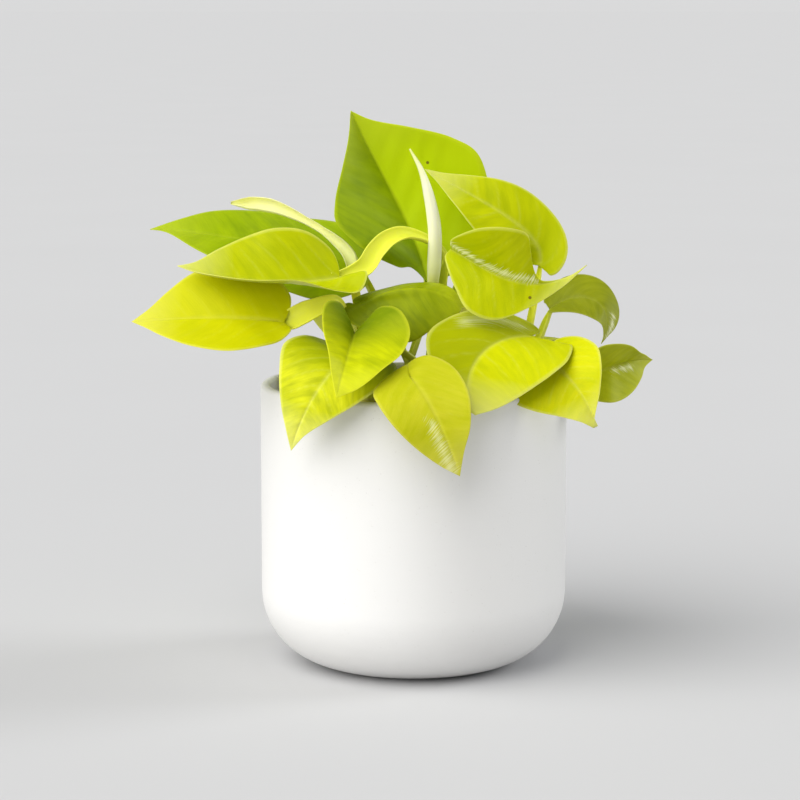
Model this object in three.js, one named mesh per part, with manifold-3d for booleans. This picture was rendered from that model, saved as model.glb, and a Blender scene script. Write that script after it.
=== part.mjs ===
// Potted pothos: a cylindrical ceramic pot, its potting mix, and the leafy cuttings that stand in it.
// Millimetres, +Z up. The origin is the centre of the pot's underside; the plant's best side faces -Y.

import * as THREE from 'three';
import { mergeVertices } from 'three/addons/utils/BufferGeometryUtils.js';
import Module from 'manifold-3d';

const wasm = await Module();
wasm.setup();

// Driving dimensions of the pot
const POT_RADIUS = 80;
const POT_HEIGHT = 148;
const POT_CORNER = 39;
const POT_WALL = 5;
const POT_FLOOR = 7;
const POT_SIDES = 48;
const TOUCH_GAP = 0.3;

// Driving dimensions of the potting mix and the cuttings
const MIX_TOP = 128;
const MIX_LUMP = 1.8;
const STEM_RADIUS = 3.6;
const STEM_DEPTH = 30;
const STEM_SIDES = 8;
const STEM_TAPER = [1, 1, 1, 0.9, 0.6];
const BLADE_THICKNESS = 0.8;
const SEAT_STEP = 0.15;
const PETIOLE_DEPTH = 3.4;
const YOUNG_DEPTH = 5;

// How finely the curved pieces are faceted
const STEM_STEPS = 8;
const PETIOLE_STEPS = 9;
const YOUNG_STEPS = 16;
const OUTLINE_STEPS = 12;
const RIB_STEPS = 3;

// Finishes
const FINISH = {
  pot: { color: 0xf1f1ef, roughness: 0.62 },
  mix: { color: 0x2a1d14, roughness: 0.95 },
  blade: { color: 0xb9d20f, roughness: 0.38 },
  greenBlade: { color: 0x86a81e, roughness: 0.38 },
  young: { color: 0xe9eeae, roughness: 0.4 },
  stem: { color: 0xc3d24a, roughness: 0.45 },
};

const plant = new THREE.Group();

function addMesh(name, geometry, finish) {
  const material = new THREE.MeshStandardMaterial({ ...FINISH[finish], metalness: 0 });
  const mesh = new THREE.Mesh(geometry, material);
  mesh.name = name;
  plant.add(mesh);
}

const vector = (values) => new THREE.Vector3(...values);
const smooth = (t) => t * t * (3 - 2 * t);
const mix = THREE.MathUtils.lerp;

// Closed meshes go to manifold solids and back where a piece is cut or joined

function toSolid(geometry) {
  const bare = geometry.clone();
  bare.deleteAttribute('normal');
  bare.deleteAttribute('uv');
  const merged = mergeVertices(bare, 1e-4);
  return new wasm.Manifold(new wasm.Mesh({
    numProp: 3,
    vertProperties: new Float32Array(merged.attributes.position.array),
    triVerts: new Uint32Array(merged.index.array),
  }));
}

function toGeometry(solid) {
  const mesh = solid.getMesh();
  const geometry = new THREE.BufferGeometry();
  geometry.setAttribute('position', new THREE.BufferAttribute(mesh.vertProperties, 3));
  geometry.setIndex(new THREE.BufferAttribute(mesh.triVerts, 1));
  return geometry;
}

function fromFaces(points, faces) {
  const geometry = new THREE.BufferGeometry();
  geometry.setAttribute('position', new THREE.Float32BufferAttribute(points.flatMap((p) => p.toArray()), 3));
  geometry.setIndex(faces.flat());
  return geometry;
}

// Pot: flat foot, large rounded bottom edge, straight wall, softly rounded rim

function arc(cx, cz, radius, from, to, steps) {
  return Array.from({ length: steps + 1 }, (_, k) => {
    const angle = mix(from, to, k / steps);
    return new THREE.Vector2(cx + radius * Math.cos(angle), cz + radius * Math.sin(angle));
  });
}

function lathe(profile, sides) {
  const geometry = new THREE.LatheGeometry(profile, sides);
  geometry.rotateX(Math.PI / 2);
  return geometry;
}

const POT_INNER = POT_RADIUS - POT_WALL;
const INNER_CORNER = POT_CORNER - POT_WALL;
const RIM = POT_WALL / 2;

function potGeometry() {
  const outerCorner = arc(POT_RADIUS - POT_CORNER, POT_CORNER, POT_CORNER, -Math.PI / 2, 0, 9);
  const rim = arc(POT_RADIUS - RIM, POT_HEIGHT - RIM, RIM, 0, Math.PI, 4);
  const [innerX, innerZ] = [POT_INNER - INNER_CORNER, POT_FLOOR + INNER_CORNER];
  const innerCorner = arc(innerX, innerZ, INNER_CORNER, 0, -Math.PI / 2, 7);
  const [foot, floor] = [new THREE.Vector2(0, 0), new THREE.Vector2(0, POT_FLOOR)];
  return lathe([foot, ...outerCorner, ...rim, ...innerCorner, floor], POT_SIDES);
}

// Potting mix: fills the pot up to a lumpy top, with a plain hole for each stem

const MIX_SHOULDER = 3;
const MIX_RINGS = [0.97, 0.84, 0.68, 0.5, 0.32, 0.15];

function lump(x, y) {
  return MIX_LUMP * (Math.sin(0.21 * x + 1.3) * Math.cos(0.17 * y) + 0.6 * Math.sin(0.41 * y - 0.3 * x));
}

function mixGeometry() {
  const radius = POT_INNER - TOUCH_GAP;
  const corner = INNER_CORNER - TOUCH_GAP;
  const bottom = POT_FLOOR + TOUCH_GAP;
  const side = arc(radius - corner, bottom + corner, corner, -Math.PI / 2, 0, 6);
  const rings = MIX_RINGS.map((share) => new THREE.Vector2(radius * share, MIX_TOP));
  const shoulder = new THREE.Vector2(radius, MIX_TOP - MIX_SHOULDER);
  const profile = [new THREE.Vector2(0, bottom), ...side, shoulder, ...rings, new THREE.Vector2(0, MIX_TOP)];
  const geometry = lathe(profile, POT_SIDES);
  const position = geometry.attributes.position;
  for (let k = 0; k < position.count; k += 1) {
    const lift = position.getZ(k) > MIX_TOP - MIX_SHOULDER / 2 ? lump(position.getX(k), position.getY(k)) : 0;
    position.setZ(k, position.getZ(k) + lift);
  }
  return geometry;
}

// Blade: a pointed heart, laid along a curved midrib, folded at it and waved at the margin.
// Its rows run from the sinus round the lobe to the tip, its columns from the midrib to the margin.

// The outline is one half of a heart of length 1 and this half width; ripples fade out near the midrib
const HALF_WIDTH = 0.41;
const RIPPLE_START = 0.2;
const RIPPLE_SHIFT = 1.3;
// Behind a lobe of this reach or more, this share of the rows fans out from the joint
const FULL_LOBE = 0.15;
const LOBE_ROWS = 0.3;

function heartOutline(lobe, belly, steps) {
  const rest = 1 - belly;
  const shift = belly - 0.25;
  const wedge = Math.min(0, lobe);
  const points = [
    [0, 0],
    [-0.85 * lobe, 0.11 + 0.3 * wedge],
    [-0.85 * lobe, 0.25 - 0.35 * shift],
    [0.03 + 0.7 * shift, 0.36 - 0.15 * shift],
    [belly, HALF_WIDTH],
    [1 - 0.7 * rest, 0.345],
    [1 - 0.4 * rest, 0.2],
    [1 - 0.17 * rest, 0.07],
    [1, 0],
  ].map(([x, y]) => vector([x, y, 0]));
  const curve = new THREE.CatmullRomCurve3(points, false, 'catmullrom', 0.5);
  return Array.from({ length: steps + 1 }, (_, k) => curve.getPoint(k / steps));
}

function bladeFrame(leaf, along) {
  const curve = leaf.curve;
  const t = THREE.MathUtils.clamp(along, 0, 1);
  const point = curve.getPointAt(t);
  const tangent = curve.getTangentAt(t);
  point.addScaledVector(tangent, Math.min(along, 0) * leaf.length);
  const normal = vector(leaf.face[0]).lerp(vector(leaf.face[1]), t);
  normal.addScaledVector(tangent, -normal.dot(tangent)).normalize();
  const side = normal.clone().cross(tangent);
  return { point, tangent, normal, side };
}

function bladePoint(leaf, sign, along, across, row, column) {
  const { point, normal, side } = bladeFrame(leaf, along);
  const [foldBase, foldTip] = sign > 0 ? leaf.fold[0] : leaf.fold[1];
  const share = THREE.MathUtils.clamp(along / leaf.reach, 0, 1);
  const fold = THREE.MathUtils.degToRad(mix(foldBase, foldTip, leaf.reach < 1 ? smooth(share) : share));
  const bend = THREE.MathUtils.degToRad(leaf.arch || 0.01) / HALF_WIDTH;
  const turn = fold + bend * across;
  const out = (Math.sin(turn) - Math.sin(fold)) / bend;
  const up = (Math.cos(fold) - Math.cos(turn)) / bend;
  const phase = 2 * Math.PI * leaf.wave.count * row + leaf.wave.phase + (sign > 0 ? 0 : RIPPLE_SHIFT);
  const wave = leaf.wave.height * Math.sin(phase) * column ** 2 * Math.min(1, across / RIPPLE_START);
  return point
    .addScaledVector(side, sign * out * leaf.length)
    .addScaledVector(normal, up * leaf.length + wave);
}

function bladeSurface(leaf) {
  const outline = heartOutline(leaf.lobe, leaf.belly, OUTLINE_STEPS);
  const lobeRows = LOBE_ROWS * THREE.MathUtils.clamp(leaf.lobe / FULL_LOBE, 0, 1);
  const midrib = (row) => Math.max(0, (row / OUTLINE_STEPS - lobeRows) / (1 - lobeRows)) ** 1.15;
  const points = [];
  const faces = [];
  const grids = [1, -1].map((sign) => outline.map((edge, row) => {
    const start = midrib(row);
    return Array.from({ length: RIB_STEPS + 1 }, (_, column) => {
      const share = column / RIB_STEPS;
      const across = Math.max(0, (edge.y * leaf.width * share) / (2 * HALF_WIDTH));
      points.push(bladePoint(leaf, sign, mix(start, edge.x, share), across, row / OUTLINE_STEPS, share));
      return points.length - 1;
    });
  }));
  // The first row is the joint alone: where the next one starts there too, no face lies between them
  const first = midrib(1) > 0 ? 0 : 1;
  grids.forEach((grid, half) => {
    for (let row = first; row < OUTLINE_STEPS; row += 1) {
      for (let column = 0; column < RIB_STEPS; column += 1) {
        const [a, b] = [grid[row][column], grid[row][column + 1]];
        const [c, d] = [grid[row + 1][column + 1], grid[row + 1][column]];
        faces.push(...(half === 0 ? [[a, c, b], [a, d, c]] : [[a, b, c], [a, c, d]]));
      }
    }
  });
  return { points, faces };
}

function weld(points, faces) {
  const kept = [];
  const index = points.map((point) => {
    const found = kept.findIndex((other) => other.distanceToSquared(point) < 1e-6);
    return found >= 0 ? found : kept.push(point) - 1;
  });
  const welded = faces
    .map((face) => face.map((k) => index[k]))
    .filter(([a, b, c]) => a !== b && b !== c && c !== a);
  return { points: kept, faces: welded };
}

function thicken({ points, faces }, thickness) {
  const normals = points.map(() => new THREE.Vector3());
  const edges = new Map();
  faces.forEach((face) => {
    const [a, b, c] = face.map((k) => points[k]);
    const normal = b.clone().sub(a).cross(c.clone().sub(a)).normalize();
    face.forEach((k, corner) => {
      normals[k].add(normal);
      const next = face[(corner + 1) % 3];
      edges.set(`${k},${next}`, [k, next]);
    });
  });
  const count = points.length;
  const shifted = (sign) => points.map((point, k) => (
    point.clone().addScaledVector(normals[k].clone().normalize(), (sign * thickness) / 2)
  ));
  const margin = [...edges.values()].filter(([a, b]) => !edges.has(`${b},${a}`));
  const walls = margin.flatMap(([a, b]) => [[a, a + count, b + count], [a, b + count, b]]);
  const lower = faces.map(([a, b, c]) => [a + count, c + count, b + count]);
  return fromFaces([...shifted(1), ...shifted(-1)], [...faces, ...walls, ...lower]);
}

function bladeGeometry(leaf, thickness = BLADE_THICKNESS) {
  const surface = bladeSurface(leaf);
  return thicken(weld(surface.points, surface.faces), thickness);
}

// Channelled petiole: a crescent section swept along a curve, its hollow side facing a given way

const CRESCENT = [
  [-0.5, 0.5], [-0.4, -0.1], [-0.17, -0.48], [0.17, -0.48], [0.4, -0.1],
  [0.5, 0.5], [0.24, 0.14], [0, 0.02], [-0.24, 0.14],
];

function sweep(curve, steps, shape, sizeAt, hollowAt) {
  const points = [];
  const faces = [];
  const count = shape.length;
  const outline = shape.map(([x, y]) => new THREE.Vector2(x, y));
  if (!THREE.ShapeUtils.isClockWise(outline)) outline.reverse();
  for (let k = 0; k <= steps; k += 1) {
    const t = k / steps;
    const centre = curve.getPointAt(t);
    const tangent = curve.getTangentAt(t);
    const hollow = hollowAt(t);
    hollow.addScaledVector(tangent, -hollow.dot(tangent)).normalize();
    const side = tangent.clone().cross(hollow);
    const [width, depth] = sizeAt(t);
    outline.forEach(({ x, y }) => points.push(
      centre.clone().addScaledVector(side, x * width).addScaledVector(hollow, y * depth),
    ));
  }
  for (let k = 0; k < steps; k += 1) {
    for (let corner = 0; corner < count; corner += 1) {
      const next = (corner + 1) % count;
      const [a, b] = [k * count + corner, k * count + next];
      const [c, d] = [b + count, a + count];
      faces.push([a, b, c], [a, c, d]);
    }
  }
  const last = steps * count;
  THREE.ShapeUtils.triangulateShape(outline, []).forEach((corners) => {
    const clockwise = THREE.ShapeUtils.isClockWise(corners.map((k) => outline[k]));
    const [a, b, c] = clockwise ? corners : [...corners].reverse();
    faces.push([c, b, a], [a + last, b + last, c + last]);
  });
  return fromFaces(points, faces);
}

// One blade's shape: its midrib as four curve points, the way its upper face looks at the joint and
// at the tip, its full width as a share of its length, and the folds of its two halves in degrees

function blade(midrib, face, width, fold, form = {}) {
  const curve = new THREE.CubicBezierCurve3(...midrib.map(vector));
  const wave = { height: 0.7, count: 2.5, phase: midrib[0][0], ...form.wave };
  const defaults = { arch: -10, lobe: 0.11, belly: 0.25, reach: 1 };
  return { ...defaults, ...form, curve, length: curve.getLength(), face, width, fold, wave };
}

const BLADES = {
  leaf_left_low: blade(
    [[-66, -40, 184], [-88, -44, 188], [-119, -40, 186], [-144, -30, 183]],
    [[0, -0.7, 0.7], [-0.1, -0.75, 0.65]], 0.78, [[22, 20], [15, 10]], { lobe: 0.03, belly: 0.4, arch: -5 },
  ),
  leaf_left_middle: blade(
    [[-38, -22, 205], [-58, -34, 202], [-93, -40, 203], [-120, -34, 212]],
    [[0, -0.85, 0.5], [0, -0.85, 0.5]], 0.66, [[40, 68], [5, 5]],
    { lobe: 0.06, belly: 0.42, reach: 0.3, arch: -4 },
  ),
  leaf_left_high: blade(
    [[-32, 25, 208], [-65, 22, 219], [-110, 25, 224], [-140, 35, 225]],
    [[0, -0.6, 0.8], [0, -0.6, 0.8]], 0.58, [[-15, 28], [-15, -10]], { lobe: 0.08, belly: 0.38, arch: 0 },
  ),
  leaf_top: blade(
    [[7, 14, 199], [1, 30, 228], [-19, 34, 256], [-33, 26, 288]],
    [[0.46, -0.89, 0.2], [0.46, -0.89, 0.1]], 0.95, [[21, 22], [23, 36]],
    { lobe: -0.08, belly: 0.46, arch: 0 },
  ),
  leaf_right_high: blade(
    [[66, 10, 208], [71, 6, 226], [37, 4, 241], [6, 16, 258]],
    [[-0.3, -0.8, 0.5], [0.1, -0.8, 0.6]], 0.47, [[0, 10], [5, 15]], { lobe: 0.09, belly: 0.32, arch: -20 },
  ),
  leaf_cupped: blade(
    [[19, -28, 220], [36, -40, 212], [64, -40, 201], [88, -30, 212]],
    [[0, -1, -0.1], [0.1, -1, 0.1]], 0.76, [[42, 30], [28, 20]], { lobe: -0.05, belly: 0.42, arch: 0 },
  ),
  leaf_heart: blade(
    [[-30, -48, 179], [-32, -68, 175], [-34, -92, 170], [-38, -100, 154]],
    [[0.2, -0.5, 0.8], [0.2, -1, 0.3]], 1.1, [[42, 22], [62, 34]], {},
  ),
  leaf_middle: blade(
    [[-27, -26, 190], [-14, -30, 201], [8, -32, 201], [25, -30, 192]],
    [[0, -0.9, 0.45], [0, -0.9, 0.45]], 0.88, [[-58, -58], [0, 0]], { lobe: 0.06, belly: 0.42 },
  ),
  leaf_front_left: blade(
    [[-32, -56, 168], [-38, -78, 170], [-54, -88, 151], [-61, -82, 125]],
    [[0, -0.3, 1], [-0.2, -1, 0.1]], 0.84, [[-8, 0], [15, 5]], { belly: 0.3 },
  ),
  leaf_front: blade(
    [[-3, -79, 161], [1, -97, 164], [14, -110, 142], [22, -104, 116]],
    [[0, -0.75, 0.65], [0.1, -1, 0.1]], 0.84, [[4, 8], [12, 4]], { lobe: 0.03, belly: 0.4, arch: -15 },
  ),
  leaf_front_right: blade(
    [[59, -34, 176], [36, -48, 179], [19, -72, 162], [30, -84, 143]],
    [[0, -0.5, 1], [0.2, -1, 0.1]], 0.86, [[-4, -14], [9, 6]], { belly: 0.46 },
  ),
  leaf_right_low: blade(
    [[67, -36, 165], [74, -51, 162], [85, -61, 153], [92, -61, 134]],
    [[0.1, -0.6, 1], [0.1, -1, 0.2]], 1.02, [[34, 20], [-6, 4]], { belly: 0.42 },
  ),
  leaf_right_small: blade(
    [[89, -18, 153], [101, -12, 157], [115, 0, 161], [126, 12, 158]],
    [[0.2, -1, -0.1], [0.2, -1, 0]], 0.82, [[60, 45], [40, 25]], { lobe: 0.05, belly: 0.35, arch: 0 },
  ),
  leaf_right_middle: blade(
    [[71, -1, 186], [86, -4, 200], [108, -8, 192], [97, -15, 170]],
    [[0, -0.5, 0.9], [1, -0.5, 0]], 0.64, [[10, 10], [25, 10]], { lobe: 0, belly: 0.42 },
  ),
  leaf_back_left: blade(
    [[-18, 56, 176], [-26, 76, 184], [-34, 100, 168], [-38, 118, 140]],
    [[0, 0.1, 1], [0, 1, 0.2]], 0.8, [[12, 8], [12, 8]], { belly: 0.32 },
  ),
  leaf_back_middle: blade(
    [[14, 60, 182], [18, 80, 192], [28, 108, 178], [34, 124, 150]],
    [[0, 0.1, 1], [0.1, 1, 0.2]], 0.78, [[10, 6], [14, 8]], { belly: 0.35 },
  ),
  leaf_back_right: blade(
    [[50, 38, 166], [60, 54, 170], [78, 76, 152], [84, 88, 130]],
    [[0.1, 0, 1], [0.6, 0.8, 0.2]], 0.85, [[12, 8], [10, 6]], { belly: 0.3 },
  ),
  leaf_back_low: blade(
    [[-34, 36, 160], [-40, 52, 166], [-46, 76, 152], [-49, 94, 128]],
    [[-0.1, 0, 1], [-0.5, 0.8, 0.2]], 0.74, [[10, 6], [14, 8]], { belly: 0.32 },
  ),
  leaf_back_high: blade(
    [[26, 36, 204], [28, 54, 224], [30, 74, 236], [26, 96, 230]],
    [[0, -0.4, 1], [0, 0.5, 1]], 0.7, [[16, 10], [16, 10]], { belly: 0.36 },
  ),
};

// Blades that have turned greener than the chartreuse of the rest
const GREENER = [
  'leaf_top', 'leaf_left_high', 'leaf_right_high', 'leaf_right_small', 'leaf_middle', 'leaf_back_high',
];

// New leaves, still rolled up: the midline of each, the way its open side looks, and its widths

const YOUNG = {
  leaf_new_left: {
    path: [[-31, -7, 203], [-33, -4, 214], [-42, 2, 223], [-57, 8, 232], [-75, 13, 239], [-96, 20, 240]],
    open: [-0.3, -0.9, 0.4], size: [5, 9, 10, 9, 8, 7, 1],
  },
  leaf_new_middle: {
    path: [[12, 6, 196], [13, 5, 212], [13, 4, 228], [10, 5, 245], [5, 6, 258], [-2, 8, 269]],
    open: [-0.2, 1, 0.1], size: [5.5, 6.6, 7, 6.6, 5, 3, 0.8],
  },
};

// Cuttings: where each stem stands and ends, and the petioles that grow from it. A petiole starts inside
// its stem, passes its points and ends just under its blade's joint. Sizes are its widths along the way.

const petiole = (to, via, size = [6, 5, 4, 3.4]) => ({ to, via, size });

const STEMS = {
  stem_left: {
    foot: [-36, -26], top: [-37, -24, 150],
    petioles: [
      petiole(
        'leaf_left_low',
        [[-38, -24, 146], [-42, -27, 178], [-44, -34, 192], [-56, -39, 187]],
        [6, 6, 7, 8, 4],
      ),
      petiole('leaf_front_left', [[-36, -26, 140], [-35, -38, 152]]),
      petiole('leaf_heart', [[-36, -25, 143], [-36, -29, 164]]),
    ],
  },
  stem_back_left: {
    foot: [-24, 8], top: [-25, 6, 162],
    petioles: [
      petiole('leaf_new_left', [[-25, 5, 156], [-28, -2, 184]]),
      petiole('leaf_left_high', [[-24, 8, 156], [-20, 20, 186]]),
      petiole('leaf_back_low', [[-24, 9, 140], [-28, 22, 150]]),
    ],
  },
  stem_middle: {
    foot: [8, 10], top: [10, 9, 172],
    petioles: [
      petiole('leaf_new_middle', [[10, 9, 168], [11, 7, 184]]),
      petiole(
        'leaf_left_middle',
        [[9, 8, 160], [7, 3, 200], [7, 2, 222], [-2, -2, 228], [-13, -10, 219], [-24, -18, 206]],
        [6, 6, 6, 7, 8, 8, 4],
      ),
      petiole('leaf_top', [[10, 11, 166], [8, 14, 184]]),
      petiole('leaf_middle', [[7, 8, 152], [-10, -6, 168], [-22, -17, 180]]),
      petiole('leaf_back_high', [[11, 11, 160], [20, 24, 186]]),
    ],
  },
  stem_right: {
    foot: [46, 10], top: [49, 10, 150],
    petioles: [
      petiole('leaf_right_high', [[50, 10, 147], [58, 11, 162], [63, 12, 184]]),
      petiole('leaf_right_middle', [[50, 9, 142], [59, -1, 156], [66, -4, 172]], [6, 7, 8, 4]),
      petiole('leaf_back_right', [[49, 12, 142], [50, 26, 156]]),
    ],
  },
  stem_front_right: {
    foot: [40, -24], top: [43, -24, 150],
    petioles: [
      petiole('leaf_cupped', [[42, -23, 146], [36, -16, 170], [30, -15, 198]]),
      petiole('leaf_front_right', [[43, -24, 146], [51, -24, 162]]),
      petiole('leaf_right_low', [[43, -25, 140], [54, -27, 149]]),
      petiole('leaf_right_small', [[43, -23, 140], [60, -15, 150], [76, -14, 156]]),
    ],
  },
  stem_front: {
    foot: [-3, -42], top: [-2, -42, 146],
    petioles: [
      petiole('leaf_front', [[-2, -42, 140], [-1, -52, 151]]),
    ],
  },
  stem_back: {
    foot: [-2, 46], top: [-2, 48, 158],
    petioles: [
      petiole('leaf_back_left', [[-3, 48, 152], [-10, 50, 166]]),
      petiole('leaf_back_middle', [[-1, 49, 154], [6, 52, 172]]),
    ],
  },
};

const ROUND = Array.from({ length: STEM_SIDES }, (_, k) => {
  const angle = (-2 * Math.PI * k) / STEM_SIDES;
  return [0.5 * Math.cos(angle), 0.5 * Math.sin(angle)];
});

function sizesAlong(sizes, depth) {
  return (t) => {
    const spot = t * (sizes.length - 1);
    const k = Math.min(Math.floor(spot), sizes.length - 2);
    const width = mix(sizes[k], sizes[k + 1], spot - k);
    return [width, Math.min(depth, width)];
  };
}

function petioleTo(end, facing, { via, size }) {
  const curve = new THREE.CatmullRomCurve3([...via.map(vector), end], false, 'centripetal');
  const hollowAt = (t) => vector([0.01, 0.02, 1]).lerp(facing, smooth(t));
  return toSolid(sweep(curve, PETIOLE_STEPS, CRESCENT, sizesAlong(size, PETIOLE_DEPTH), hollowAt));
}

// A petiole ends end to end with a rolled leaf. At an open blade it ends as near to the joint as it can
// without coming nearer to the blade than the touch gap: under it, or in line with it at a wedge base

function petioleSolid(petiole) {
  if (petiole.to in YOUNG) {
    const { path, open } = YOUNG[petiole.to];
    const [base, next] = path.map(vector);
    const back = base.clone().sub(next).setLength(3 * TOUCH_GAP);
    return petioleTo(base.add(back), vector(open), petiole);
  }
  const leaf = BLADES[petiole.to];
  const room = toSolid(bladeGeometry(leaf, BLADE_THICKNESS + 2 * TOUCH_GAP));
  const { point, normal, tangent } = bladeFrame(leaf, 0);
  let solid = null;
  do {
    point.addScaledVector(leaf.lobe < 0 ? tangent : normal, -SEAT_STEP);
    solid = petioleTo(point, normal, petiole);
  } while (solid.intersect(room).volume() > 0);
  return solid;
}

function stemSolid({ foot, top, petioles }) {
  const [x, y] = foot;
  const low = vector([x, y, MIX_TOP - STEM_DEPTH]);
  const surface = vector([x, y, MIX_TOP]);
  const curve = new THREE.CatmullRomCurve3([low, surface, vector(top)], false, 'centripetal');
  const widths = STEM_TAPER.map((share) => 2 * STEM_RADIUS * share);
  const trunk = sweep(curve, STEM_STEPS, ROUND, sizesAlong(widths, STEM_RADIUS * 2), () => vector([0, 1, 0]));
  return petioles.reduce((solid, each) => solid.add(petioleSolid(each)), toSolid(trunk));
}

function youngGeometry({ path, open, size }) {
  const curve = new THREE.CatmullRomCurve3(path.map(vector), false, 'centripetal');
  return sweep(curve, YOUNG_STEPS, CRESCENT, sizesAlong(size, YOUNG_DEPTH), () => vector(open));
}

function holeFor({ foot }) {
  const radius = STEM_RADIUS + TOUCH_GAP;
  const depth = STEM_DEPTH + TOUCH_GAP;
  const hole = new THREE.CylinderGeometry(radius, radius, 2 * depth, STEM_SIDES * 2);
  hole.rotateX(Math.PI / 2);
  hole.translate(foot[0], foot[1], MIX_TOP);
  return toSolid(hole);
}

function drilledMix() {
  const holes = Object.values(STEMS).map(holeFor);
  return toGeometry(holes.reduce((solid, hole) => solid.subtract(hole), toSolid(mixGeometry())));
}

addMesh('pot', potGeometry(), 'pot');
addMesh('potting_mix', drilledMix(), 'mix');
Object.entries(STEMS).forEach(([name, stem]) => addMesh(name, toGeometry(stemSolid(stem)), 'stem'));
Object.entries(YOUNG).forEach(([name, leaf]) => addMesh(name, youngGeometry(leaf), 'young'));
Object.entries(BLADES).forEach(([name, leaf]) => {
  addMesh(name, bladeGeometry(leaf), GREENER.includes(name) ? 'greenBlade' : 'blade');
});

export default plant;
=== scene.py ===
"""Potted pothos: chartreuse heart-shaped blades on channelled stalks, in a plain white ceramic pot."""

import math
import random

import bpy
import numpy as np
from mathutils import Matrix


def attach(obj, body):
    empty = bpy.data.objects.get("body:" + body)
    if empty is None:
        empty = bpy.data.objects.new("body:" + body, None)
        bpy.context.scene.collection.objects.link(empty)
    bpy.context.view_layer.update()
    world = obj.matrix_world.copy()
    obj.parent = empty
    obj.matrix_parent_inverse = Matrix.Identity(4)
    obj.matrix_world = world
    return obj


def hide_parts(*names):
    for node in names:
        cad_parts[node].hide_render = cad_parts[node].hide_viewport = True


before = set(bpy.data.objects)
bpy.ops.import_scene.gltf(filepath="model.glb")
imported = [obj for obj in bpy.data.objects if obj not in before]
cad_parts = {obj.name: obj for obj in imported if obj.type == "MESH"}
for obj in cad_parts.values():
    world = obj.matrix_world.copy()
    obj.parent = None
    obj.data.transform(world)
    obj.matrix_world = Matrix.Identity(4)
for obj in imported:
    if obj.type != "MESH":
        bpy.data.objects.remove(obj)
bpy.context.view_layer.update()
MM = 0.001

# Camera and light: the camera stands a little above the foliage and looks slightly down on it

CAMERA_PLACE = (-0.0071, -1.4, 0.342)
CAMERA_DOWN = 8.28
SENSOR_WIDTH = 36
FOCAL_PIXELS = 2700
IMAGE_PIXELS = 800
LAMP_DISTANCE = 2

camera_data = bpy.data.cameras.new("camera")
camera_data.sensor_width = SENSOR_WIDTH
camera_data.lens = SENSOR_WIDTH * FOCAL_PIXELS / IMAGE_PIXELS
camera = bpy.data.objects.new("camera", camera_data)
camera.location = CAMERA_PLACE
camera.rotation_euler = (math.radians(90 - CAMERA_DOWN), 0, 0)
bpy.context.scene.collection.objects.link(camera)
bpy.context.scene.camera = camera
bpy.context.scene.view_settings.view_transform = "Standard"


def soft_sun(name, side, height, softness, strength, colour):
    """Broad even light; side is its bearing right of the camera's back, height its rise, in degrees."""
    data = bpy.data.lights.new(name, "SUN")
    data.angle = math.radians(softness)
    data.energy = strength
    data.color = colour
    lamp = bpy.data.objects.new(name, data)
    bearing, rise = math.radians(side), math.radians(height)
    out, up = LAMP_DISTANCE * math.cos(rise), LAMP_DISTANCE * math.sin(rise)
    lamp.location = (out * math.sin(bearing), -out * math.cos(bearing), up)
    bpy.context.scene.collection.objects.link(lamp)
    lamp.rotation_euler = (-lamp.location).to_track_quat("-Z", "Y").to_euler()


soft_sun("key_left", -50, 42, 72, 3.5, (1.0, 0.99, 0.965))
soft_sun("rim_right", 104, 24, 26, 1.25, (0.98, 0.99, 1.0))

world = bpy.data.worlds.new("studio")
world.use_nodes = True
sky = world.node_tree.nodes["Background"].inputs
sky["Color"].default_value = (0.95, 0.97, 1.0, 1)
sky["Strength"].default_value = 0.37
bpy.context.scene.world = world

# Shader maths, and the places of a Mix node's sockets for colours

MIX_SHARE, MIX_FIRST, MIX_SECOND, MIX_RESULT = 0, 6, 7, 2


class Value:
    """A value on a socket; the operators on it add Math nodes."""

    def __init__(self, tree, socket):
        self.tree = tree
        self.socket = socket

    def _math(self, operation, first, second):
        node = self.tree.nodes.new("ShaderNodeMath")
        node.operation = operation
        for slot, value in zip(node.inputs, (first, second)):
            if isinstance(value, Value):
                self.tree.links.new(value.socket, slot)
            else:
                slot.default_value = value
        return Value(self.tree, node.outputs[0])

    def __add__(self, other):
        return self._math("ADD", self, other)

    def __radd__(self, other):
        return self._math("ADD", other, self)

    def __sub__(self, other):
        return self._math("SUBTRACT", self, other)

    def __rsub__(self, other):
        return self._math("SUBTRACT", other, self)

    def __mul__(self, other):
        return self._math("MULTIPLY", self, other)

    def __rmul__(self, other):
        return self._math("MULTIPLY", other, self)


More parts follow.
